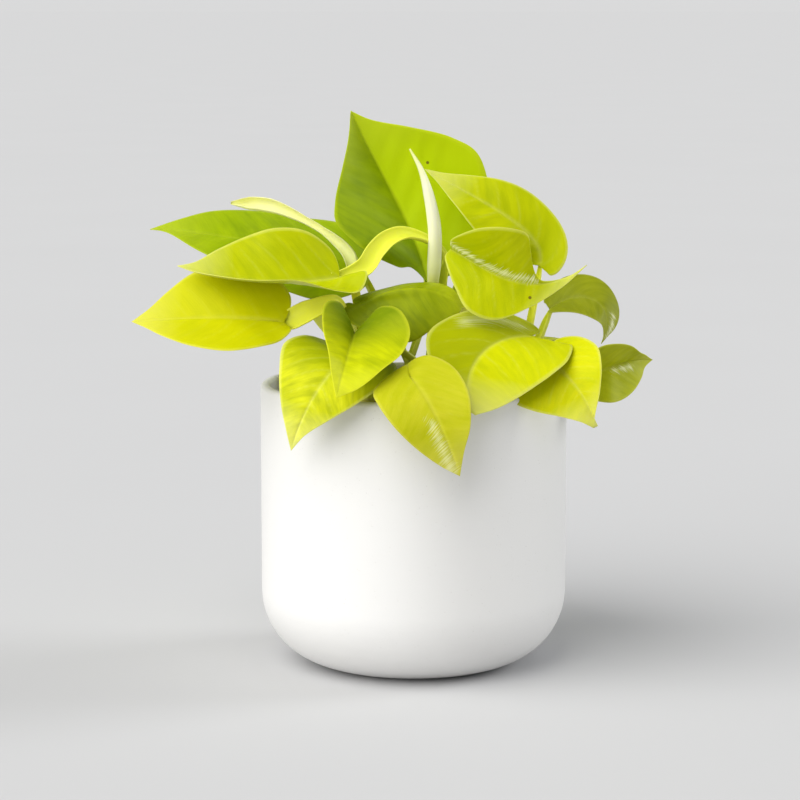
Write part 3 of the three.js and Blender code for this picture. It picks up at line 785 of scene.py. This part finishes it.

# A blade's pale strip is painted highlight, and its other colour paints one half lighter or darker for how
# light falls on it.
BLADES = [
    Blade("leaf_left_low", [(-66, -40, 184), (-88, -44, 188), (-119, -40, 186), (-144, -30, 183)],
          [(0, -0.7, 0.7), (-0.1, -0.75, 0.65)], 0.78, [(22, 20), (15, 10)], "amber",
          lobe=0, belly=0.42, arch=-8),
    Blade("leaf_left_middle", [(-38, -22, 205), (-58, -34, 202), (-93, -40, 203), (-120, -34, 212)],
          [(0, -0.85, 0.5), (0, -0.85, 0.5)], 0.66, [(40, 68, 68, 68), (5, 5)], "lime",
          lobe=0.06, belly=0.42, arch=-4),
    Blade("leaf_left_high", [(-32, 25, 208), (-65, 22, 219), (-110, 25, 224), (-140, 35, 225)],
          [(0, -0.6, 0.8), (0, -0.6, 0.8)], (0.58, 0.66), [(-15, 28), (-15, -10)], "green",
          lobe=0.12, belly=0.3, arch=0, quilt=0.2),
    # Its other colour paints the minus half lighter: painted light.
    Blade("leaf_top", [(7, 14, 199), (1, 30, 228), (-19, 34, 256), (-33, 26, 288)],
          [(0.46, -0.89, 0.2), (0.46, -0.89, 0.1)], (0.98, 0.99), [(21, 22), (23, 36)], "green",
          lobe=-0.08, belly=0.46, arch=0, quilt=0.22, other=(0.55, 0.69, 0.002),
          blemish=(0.0075, 0.0294, 0.2607)),
    Blade("leaf_right_high", [(66, 10, 208), (71, 6, 226), (37, 4, 241), (6, 16, 258)],
          [(-0.3, -0.8, 0.5), (0.1, -0.8, 0.6)], (0.47, 0.43), [(0, 10), (5, 15)], "lime",
          lobe=0.02, belly=0.34, arch=-20, quilt=0.15),
    Blade("leaf_cupped", [(19, -28, 220), (34, -40, 213), (58, -42, 191), (88, -30, 212)],
          [(0, -1, -0.1), (0.1, -1, 0.1)], (0.76, 0.69), [(42, 38, 45, 100, 110), (28, 26, 22, 10, 0)],
          "lime", lobe=-0.05, belly=(0.42, 0.36), arch=0, highlight_path=((0.02, 0.05), (0.62, 0.035), 0.08),
          blemish=(0.0586, -0.0408, 0.1965)),
    Blade("leaf_heart", [(-30, -48, 179), (-32, -68, 175), (-34, -92, 170), (-38, -100, 154)],
          [(0.2, -0.5, 0.8), (0.2, -1, 0.3)], (1.0, 0.74), [(42, 22), (50, 34)], "heart", lobe=0.2),
    Blade("leaf_middle", [(-27, -26, 190), (-14, -30, 203), (8, -32, 203), (25, -30, 192)],
          [(0, -0.9, 0.45), (0, -0.9, 0.45)], (0.88, 1.05), [(-58, -58), (0, 0)], "moss",
          lobe=0.06, belly=0.42),
    Blade("leaf_front_left", [(-32, -56, 168), (-38, -78, 170), (-54, -88, 151), (-61, -82, 125)],
          [(0, -0.3, 1), (-0.2, -1, 0.1)], (0.92, 0.84), [(-8, 0), (15, 5)], "fading", lobe=0.22, belly=0.3),
    Blade("leaf_front", [(-3, -79, 161), (1, -97, 164), (14, -110, 142), (22, -104, 116)],
          [(0, -0.75, 0.65), (0.1, -1, 0.1)], (0.73, 0.84), [(4, 8), (12, 4)], "straw",
          lobe=0.05, belly=0.33, arch=-15, highlight_path=((0.55, -0.06), (0.95, -0.03), 0.1), painted_gloss=0.45),
    # Its other colour paints the minus half darker: painted shade.
    Blade("leaf_front_right", [(59, -34, 176), (36, -48, 179), (19, -72, 162), (30, -84, 143)],
          [(0, -0.5, 1), (0.2, -1, 0.1)], (0.95, 0.86), [(4, 0), (9, 6)], "lemon",
          lobe=0.2, belly=(0.56, 0.42), highlight_path=((0.0, -0.12), (0.35, -0.32), 0.14), painted_gloss=0.35,
          other=(0.33, 0.37, 0.001)),
    Blade("leaf_right_low", [(67, -36, 165), (74, -51, 162), (85, -61, 153), (92, -61, 134)],
          [(0.1, -0.6, 1), (0.1, -1, 0.2)], (0.86, 1.08), [(34, 20), (-6, 4)], "gold",
          belly=0.42, tip=(90, -61, 133)),
    Blade("leaf_right_small", [(89, -18, 153), (101, -12, 157), (115, 0, 161), (126, 12, 158)],
          [(0.2, -1, -0.1), (0.2, -1, 0)], 0.82, [(40, 45), (40, 25)], "olive",
          lobe=0.05, belly=0.35, arch=0, highlight_path=((0.35, -0.05), (0.6, -0.07), 0.1), painted_gloss=0.7),
    Blade("leaf_right_middle", [(71, -1, 186), (86, -4, 200), (108, -8, 192), (97, -15, 170)],
          [(0, -0.5, 0.9), (1, -0.5, 0)], 0.64, [(10, 10), (25, 10)], "shady",
          lobe=0, belly=0.42, highlight_path=((0.72, 0.1), (0.92, 0.03), 0.09), painted_gloss=0.7),
    Blade("leaf_back_left", [(-18, 56, 176), (-26, 76, 184), (-34, 100, 168), (-38, 118, 140)],
          [(0, 0.1, 1), (0, 1, 0.2)], 0.8, [(12, 8), (12, 8)], "lime", belly=0.32),
    Blade("leaf_back_middle", [(14, 60, 182), (18, 80, 192), (28, 108, 178), (34, 124, 150)],
          [(0, 0.1, 1), (0.1, 1, 0.2)], 0.78, [(10, 6), (14, 8)], "gold", belly=0.35),
    Blade("leaf_back_right", [(50, 38, 166), (60, 54, 170), (78, 76, 152), (84, 88, 130)],
          [(0.1, 0, 1), (0.6, 0.8, 0.2)], 0.85, [(12, 8), (10, 6)], "lime", belly=0.3),
    Blade("leaf_back_low", [(-34, 36, 160), (-40, 52, 166), (-46, 76, 152), (-49, 94, 128)],
          [(-0.1, 0, 1), (-0.5, 0.8, 0.2)], 0.74, [(10, 6), (14, 8)], "gold", belly=0.32),
    Blade("leaf_back_high", [(26, 36, 204), (28, 54, 224), (30, 74, 236), (26, 96, 230)],
          [(0, -0.4, 1), (0, 0.5, 1)], 0.7, [(16, 10), (16, 10)], "green", belly=0.36),
]
BLADE_NAMED = {blade.name: blade for blade in BLADES}

# Stalks: smooth channelled sections swept along the cuttings' own curves


def sweep(rail, shares, section, sizes, hollow):
    """Section points (n, 2) swept along a rail; sizes gives width and depth, hollow the open side."""
    point, tangent = rail.at(shares)
    hollow = unit(hollow - tangent * np.sum(hollow * tangent, -1, keepdims=True))
    side = np.cross(tangent, hollow)
    width, depth = sizes
    rings = (
        point[:, None] + side[:, None] * (section[None, :, :1] * width[:, None, None])
        + hollow[:, None] * (section[None, :, 1:] * depth[:, None, None])
    )
    points = np.vstack([rings.reshape(-1, 3), point[:1], point[-1:]])
    return points, tube_faces(len(shares), len(section))


def channel_section(curl, thick=0.16, count=11):
    """Closed crescent of unit size: an outer arc of curl degrees from wing to wing, and an inner arc back."""
    outer_angle = np.radians(np.linspace(-90 - curl / 2, -90 + curl / 2, count))
    inner_angle = outer_angle[::-1]
    outer = np.stack([np.cos(outer_angle), np.sin(outer_angle)], -1)
    belly = 1 - thick * 2 * (0.35 + 0.65 * np.sin(np.linspace(0, math.pi, count)))
    inner = np.stack([np.cos(inner_angle), np.sin(inner_angle)], -1) * belly[:, None]
    section = np.vstack([outer, inner]) * 0.5
    wide = section[:, 0].max() - section[:, 0].min()
    deep = section[:, 1].max() - section[:, 1].min()
    section[:, 1] -= (section[:, 1].max() + section[:, 1].min()) / 2
    return section / [wide, deep]


PETIOLE_DEPTH = 3.4
PETIOLE_RINGS = 56
KNEE_PLACE, KNEE_SPAN, KNEE_SWELL = 0.86, 0.05, 0.12
SHEATH_PLACE, SHEATH_SPAN = 0.7, 0.32
STEM_RADIUS = 3.6
STEM_RINGS = 60
KNUCKLE_PLACES, KNUCKLE_SPAN, KNUCKLE_SWELL = (0.62, 0.8), 0.018, 0.09
BARK_TOP = 0.55
MIX_TOP = 128
STEM_DEPTH = 30
YOUNG_SIZE = (6, 5, 4.6, 4.8, 5.2)


class Petiole:
    """A stalk from its stem, via points in millimetres, to the leaf it carries; its widths along it, evenly
    spaced, and how much of the pale, partly painted-light colour its sheaths take."""

    def __init__(self, to, via, size=(6, 5, 4, 3.4, 1.6), pale=0.0):
        self.to, self.via, self.size, self.pale = to, via, size, pale


# Each stem: its foot in the mix, its top, and its petioles

STEMS = {
    "stem_left": ((-36, -26), (-37, -24, 150), [
        # Its ribbon takes the full pale colour of the sheaths, partly painted light against the shadow of the
        # leaves above.
        Petiole("leaf_left_low", [(-38, -24, 146), (-38, -26, 176), (-38, -31, 193), (-51, -38, 190)],
                (6, 6, 6, 5.5, 5.5, 6, 8, 11, 13, 12.5, 5), 1.0),
        Petiole("leaf_front_left", [(-36, -26, 140), (-35, -38, 152)]),
        Petiole("leaf_heart", [(-36, -25, 143), (-36, -29, 164)], pale=0.6),
    ]),
    "stem_back_left": ((-24, 8), (-25, 6, 162), [
        Petiole("leaf_new_left", [(-25, 5, 156), (-28, -2, 184)], YOUNG_SIZE, 0.8),
        Petiole("leaf_left_high", [(-24, 8, 156), (-20, 20, 186)]),
        Petiole("leaf_back_low", [(-24, 9, 140), (-28, 22, 150)]),
    ]),
    "stem_middle": ((8, 10), (10, 9, 172), [
        Petiole("leaf_new_middle", [(10, 9, 168), (11, 7, 184)], YOUNG_SIZE, 0.8),
        Petiole("leaf_left_middle",
                [(11, 11, 160), (15, 13, 196), (15, 12, 215), (-3, 3, 225), (-13, -4, 223), (-20, -11, 217),
                 (-26, -18, 209)],
                (5, 5, 5, 5.5, 7.5, 9.5, 10, 10, 6), 0.6),
        Petiole("leaf_top", [(10, 11, 166), (8, 14, 184)]),
        Petiole("leaf_middle", [(7, 8, 152), (-10, -6, 168), (-22, -17, 180)]),
        Petiole("leaf_back_high", [(11, 11, 160), (20, 24, 186)]),
    ]),
    "stem_right": ((46, 10), (49, 10, 150), [
        Petiole("leaf_right_high", [(50, 10, 147), (58, 11, 162), (63, 12, 184)], pale=0.8),
        Petiole("leaf_right_middle", [(50, 9, 142), (59, -1, 156), (66, -4, 172)], (6, 7, 8, 4, 1.6), 0.3),
        Petiole("leaf_back_right", [(49, 12, 142), (50, 26, 156)]),
    ]),
    "stem_front_right": ((40, -24), (43, -24, 150), [
        Petiole("leaf_cupped", [(42, -23, 146), (36, -16, 170), (30, -15, 198)]),
        Petiole("leaf_front_right", [(43, -24, 146), (51, -24, 162)]),
        Petiole("leaf_right_low", [(43, -25, 140), (54, -27, 149)]),
        Petiole("leaf_right_small", [(43, -23, 140), (60, -15, 150), (76, -14, 156)]),
    ]),
    "stem_front": ((-3, -42), (-2, -42, 146), [
        Petiole("leaf_front", [(-2, -42, 140), (-1, -52, 151)], pale=0.7),
    ]),
    "stem_back": ((-2, 46), (-2, 48, 158), [
        Petiole("leaf_back_left", [(-3, 48, 152), (-10, 50, 166)]),
        Petiole("leaf_back_middle", [(-1, 49, 154), (6, 52, 172)]),
    ]),
}

# Young leaves: the path of the roll, the way its open side looks, and its widths along it

YOUNG = {
    "leaf_new_left": (
        [(-31, -7, 203), (-33, -4, 214), (-42, 2, 223), (-57, 8, 232), (-75, 13, 239), (-96, 20, 240)],
        (-0.3, -0.9, 0.4), (5.4, 7, 5.8, 3.8, 4, 5.8, 7.6, 7, 1.5),
    ),
    "leaf_new_middle": (
        [(10, 6, 196), (11, 5, 212), (11, 4, 228), (8, 5, 245), (4, 6, 258), (-2, 8, 269)],
        (-0.2, 1, 0.1), (5.4, 7.4, 7.2, 6.8, 5.4, 3, 0.8),
    ),
}
YOUNG_DEPTH = 5
YOUNG_RINGS = 90


def bulge(shares, place, span):
    """One at the place and falling smoothly to none a span or two away."""
    return np.exp(-(((shares - place) / span) ** 2))


def sizes_along(sizes, shares, depth):
    """Widths and depths at the shares of a path; no part is deeper than it is wide."""
    width = np.interp(shares, np.linspace(0, 1, len(sizes)), sizes)
    return width, np.minimum(depth, width)


class Bundle:
    """Points, faces and marks of several sweeps that make one piece."""

    def __init__(self):
        self.points, self.faces, self.marks, self.count = [], [], [], 0

    def add(self, points, faces, marks):
        self.points.append(points)
        self.faces += [tuple(k + self.count for k in face) for face in faces]
        self.marks.append(np.asarray(marks, float))
        self.count += len(points)


CHANNEL = channel_section(190)
ROUND_ANGLES = [2 * math.pi * k / 20 for k in range(20)]
ROUND = np.array([(0.5 * math.cos(angle), 0.5 * math.sin(angle)) for angle in ROUND_ANGLES])
STALK_MARKS = ("wing", "sheath", "bark")
JOINT_DROP, RIB_DROP = 1.3, 0.9


def add_petiole(bundle, petiole):
    """A channelled petiole that ends under its leaf's joint, with a slight knee before it."""
    if petiole.to in YOUNG:
        path, face, _ = YOUNG[petiole.to]
        goal, facing = np.array(path[0], float), np.array(face, float)
        ends = [goal, np.array(path[1], float) * 0.25 + goal * 0.75]
    else:
        blade = BLADE_NAMED[petiole.to]
        here, _, normal, _ = blade.frame(np.array([0.0, 0.05]))
        facing = normal[0]
        ends = [here[0] - normal[0] * JOINT_DROP, here[1] - normal[1] * RIB_DROP]
    points = [np.array(p, float) for p in petiole.via] + ends
    rail = Rail(lambda t: spline(points, t))
    shares = np.linspace(0, 1, PETIOLE_RINGS)
    width, depth = sizes_along(petiole.size, shares, PETIOLE_DEPTH)
    depth = depth * (1 + KNEE_SWELL * bulge(shares, KNEE_PLACE, KNEE_SPAN))
    hollow = np.array([0.01, 0.02, 1]) * (1 - ease(shares))[:, None] + facing * ease(shares)[:, None]
    body, faces = sweep(rail, shares, CHANNEL, (width, depth), hollow)
    wing = np.clip((np.abs(CHANNEL[:, 0]) * 2 - 0.75) / 0.25, 0, 1)
    pale = petiole.pale * bulge(shares, SHEATH_PLACE, SHEATH_SPAN)
    marks = np.zeros((len(body), len(STALK_MARKS)))
    marks[:-2, 0] = np.tile(wing, len(shares))
    marks[:-2, 1] = np.repeat(pale, len(CHANNEL))
    bundle.add(body, faces, marks)


def make_stem(name, foot, top, petioles, finish):
    """A short vine stem that tapers above two knuckles, in one piece with its petioles."""
    bundle = Bundle()
    low, surface = (*foot, MIX_TOP - STEM_DEPTH), (*foot, MIX_TOP)
    rail = Rail(lambda t: spline([low, surface, top], t))
    shares = np.linspace(0, 1, STEM_RINGS)
    taper = np.interp(shares, [0, 0.75, 0.94, 0.985, 1], [1, 0.96, 0.7, 0.35, 0.06])
    knuckle = sum(bulge(shares, place, KNUCKLE_SPAN) for place in KNUCKLE_PLACES)
    width = 2 * STEM_RADIUS * taper * (1 + KNUCKLE_SWELL * knuckle)
    body, faces = sweep(rail, shares, ROUND, (width, width), np.tile([0.0, 1.0, 0.0], (STEM_RINGS, 1)))
    bark = np.clip(knuckle, 0, 1) * 0.8 + (shares < BARK_TOP) * 0.5
    bark = np.concatenate([np.repeat(bark, len(ROUND)), bark[:1], bark[-1:]])
    bundle.add(body, faces, np.stack([0 * bark, 0 * bark, bark], -1))
    for petiole in petioles:
        add_petiole(bundle, petiole)
    marks = dict(zip(STALK_MARKS, np.vstack(bundle.marks).T))
    make_piece(name + "_stalks", np.vstack(bundle.points), bundle.faces, finish, name, marks)


def make_young(name, finish):
    """A leaf still rolled: a thin section curled most of the way round."""
    path, face, size = YOUNG[name]
    rail = Rail(lambda t: spline(path, t))
    shares = np.linspace(0, 1, YOUNG_RINGS)
    width, depth = sizes_along(size, shares, YOUNG_DEPTH)
    depth = depth * np.interp(shares, [0, 0.16], [0.68, 1])
    section = channel_section(250, thick=0.1, count=17)
    hollow = np.tile(np.array(face, float), (YOUNG_RINGS, 1))
    body, faces = sweep(rail, shares, section, (width, depth), hollow)
    along = np.concatenate([np.repeat(shares, len(section)), [0, 1]])
    wing = np.clip((np.abs(section[:, 0]) * 2 - 0.8) / 0.2, 0, 1)
    wing = np.concatenate([np.tile(wing, len(shares)), [0, 0]])
    make_piece(name + "_roll", body, faces, finish, name, {"along": along, "wing": wing})


# Potting mix: a crumbly top with bark chips and a few white grains

TOUCH_GAP = 0.3
MIX_SIDES = 160
CHIP_EDGE = 0.25
STEM_CLEAR = 3
WALL_CLEAR = 5


def lump(x, y):
    """Height of the broad lumps in the mix's top."""
    return 1.8 * (np.sin(0.21 * x + 1.3) * np.cos(0.17 * y) + 0.6 * np.sin(0.41 * y - 0.3 * x))


def make_mix():
    draw = np.random.default_rng(7)
    radius = POT_INNER - TOUCH_GAP
    corner = INNER_CORNER - TOUCH_GAP
    bottom = POT_FLOOR + TOUCH_GAP
    profile = [(0, bottom)] + arc(radius - corner, bottom + corner, corner, -90, 0, 10)
    profile += [(radius, MIX_TOP - 3)] + [(radius * s, MIX_TOP) for s in np.linspace(0.985, 0.02, 56)]
    profile += [(0, MIX_TOP)]
    points, faces = lathe(profile, MIX_SIDES)
    x, y, z = points.T
    crumbs = sum(
        h * np.sin(x * fx + px) * np.sin(y * fy + py)
        for h, fx, fy, px, py in zip(
            (0.7, 0.5, 0.4, 0.35), draw.uniform(0.5, 1.9, 4), draw.uniform(0.5, 1.9, 4),
            draw.uniform(0, 6, 4), draw.uniform(0, 6, 4))
    )
    points[:, 2] += np.where(z > MIX_TOP - 1, lump(x, y) + crumbs, 0)
    peat = mix_finish("moist_peat", (0.012, 0.007, 0.004), (0.075, 0.045, 0.025), 0.95)
    make_piece("potting_mix_bed", points, faces, peat, "potting_mix")
    bark = mix_finish("bark", (0.06, 0.03, 0.014), (0.2, 0.11, 0.05), 0.85)
    scatter_chips("bark_chips", draw, 420, (1.6, 5.5), 0.5, bark)
    perlite = mix_finish("perlite", (0.6, 0.58, 0.52), (0.8, 0.79, 0.75), 0.8)
    scatter_chips("white_grains", draw, 90, (0.9, 2.1), 0.9, perlite)


def scatter_chips(name, draw, count, sizes, fullness, finish):
    """Small eight-cornered chips, each knocked out of true, pressed into the mix's top clear of the stems."""
    cube = np.array([(a, b, c) for a in (-1, 1) for b in (-1, 1) for c in (-1, 1)], float) / 2
    sides = [(0, 1, 3, 2), (4, 6, 7, 5), (0, 4, 5, 1), (2, 3, 7, 6), (0, 2, 6, 4), (1, 5, 7, 3)]
    points, faces = [], []
    while len(points) < count:
        spot, turn = math.sqrt(draw.uniform(0, 1)) * (POT_INNER - WALL_CLEAR), draw.uniform(0, 2 * math.pi)
        x, y = spot * math.cos(turn), spot * math.sin(turn)
        gaps = [math.hypot(x - foot[0], y - foot[1]) - STEM_RADIUS for foot, _, _ in STEMS.values()]
        if min(gaps) < STEM_CLEAR:
            continue
        size = draw.uniform(*sizes)
        width, depth = size * draw.uniform(0.5, 0.9), size * draw.uniform(0.25, 0.6) * (0.5 + fullness)
        corners = cube * (size, width, depth)
        corners = corners * draw.uniform(0.75, 1.1, corners.shape)
        spin, tilt = draw.uniform(0, 2 * math.pi), draw.uniform(-0.5, 0.5)
        cos, sin = math.cos(spin), math.sin(spin)
        corners = corners @ [[cos, sin, 0], [-sin, cos, 0], [0, 0, 1]]
        cos, sin = math.cos(tilt), math.sin(tilt)
        corners = corners @ [[1, 0, 0], [0, cos, sin], [0, -sin, cos]]
        corners += (x, y, MIX_TOP + lump(x, y) + 0.35 * size * draw.uniform(0.2, 1))
        faces += [tuple(k + 8 * len(points) for k in face) for face in sides]
        points.append(corners)
    piece = make_piece(name, np.vstack(points), faces, finish)
    bevel = piece.modifiers.new("worn_edges", "BEVEL")
    bevel.width = CHIP_EDGE * MM
    bevel.segments = 1
    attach(piece, "root")


# Floor: flat and wide, and its distant rim rises a little so that no edge shows, in metres

FLOOR_FLAT = 200
FLOOR_RIM = 300
FLOOR_RISE = 3
FLOOR_SIDES = 64


def make_floor():
    turn = [2 * math.pi * k / FLOOR_SIDES for k in range(FLOOR_SIDES)]
    points = [(0, 0, 0)]
    for radius, height in ((FLOOR_FLAT, 0), (FLOOR_RIM, FLOOR_RISE)):
        points += [(radius * math.cos(a), radius * math.sin(a), height) for a in turn]
    faces = []
    for k in range(FLOOR_SIDES):
        here, after = 1 + k, 1 + (k + 1) % FLOOR_SIDES
        faces += [(0, here, after), (here, here + FLOOR_SIDES, after + FLOOR_SIDES, after)]
    mesh = bpy.data.meshes.new("floor")
    mesh.from_pydata(points, [], faces)
    mesh.materials.append(floor_finish())
    floor = bpy.data.objects.new("floor", mesh)
    bpy.context.scene.collection.objects.link(floor)


# Assembly

make_pot()
make_mix()

# Tones of the blades, as leaf_finish reads them: light, deep, pale, blotch, shade and reach; shade is the
# strength of the painted shade by the joint

CREAM = (0.8, 0.8, 0.26)
TONES = {
    "gold": ((0.62, 0.62, 0.001), (0.5, 0.55, 0.001), CREAM, 0.5, 0.3, 0.3),
    "amber": ((0.57, 0.57, 0.001), (0.5, 0.52, 0.001), (0.74, 0.72, 0.14), 0.5, 0.2, 0.3),
    "lemon": ((0.6, 0.62, 0.001), (0.45, 0.5, 0.001), CREAM, 0.5, 0.3, 0.3),
    "fading": ((0.72, 0.73, 0.01), (0.27, 0.33, 0.001), (0.92, 0.92, 0.34), 0.4, 1.0, 0.5),
    "straw": ((0.53, 0.52, 0.02), (0.44, 0.46, 0.005), (0.64, 0.6, 0.12), 0.6, 0.4, 0.35),
    "lime": ((0.52, 0.56, 0.001), (0.39, 0.45, 0.001), CREAM, 0.6, 0.35, 0.3),
    "heart": ((0.62, 0.66, 0.001), (0.17, 0.24, 0.001), (0.76, 0.78, 0.05), 0.25, 1.0, 0.5),
    "moss": ((0.31, 0.37, 0.001), (0.16, 0.22, 0.001), (0.5, 0.54, 0.02), 0.45, 0.4, 0.3),
    "green": ((0.32, 0.43, 0.001), (0.21, 0.31, 0.001), (0.5, 0.58, 0.03), 0.6, 0.35, 0.3),
    "olive": ((0.44, 0.47, 0.008), (0.32, 0.36, 0.004), (0.6, 0.62, 0.12), 0.6, 0.35, 0.3),
    # shady holds darker colours for a blade that lies in shade: painted shade.
    "shady": ((0.27, 0.3, 0.01), (0.2, 0.23, 0.004), (0.46, 0.48, 0.1), 0.6, 0.35, 0.3),
}
finishes = {}
for blade in BLADES:
    key = blade.name if blade.highlight_path or blade.other else blade.tone
    if key not in finishes:
        finishes[key] = leaf_finish(key + "_skin", TONES[blade.tone], blade.painted_gloss, blade.blemish, blade.other)
    make_blade(blade, finishes[key])

stalk = stalk_finish()
for stem_name, (stem_foot, stem_top, stem_petioles) in STEMS.items():
    make_stem(stem_name, stem_foot, stem_top, stem_petioles, stalk)

left_skin = young_finish("new_leaf_left", (0.92, 0.92, 0.42), (0.92, 0.92, 0.35), (0.68, 0.74, 0.3))
middle_skin = young_finish("new_leaf_middle", (1.0, 0.98, 0.72), (0.9, 0.92, 0.3), (0.74, 0.8, 0.22))
make_young("leaf_new_left", left_skin)
make_young("leaf_new_middle", middle_skin)

make_floor()
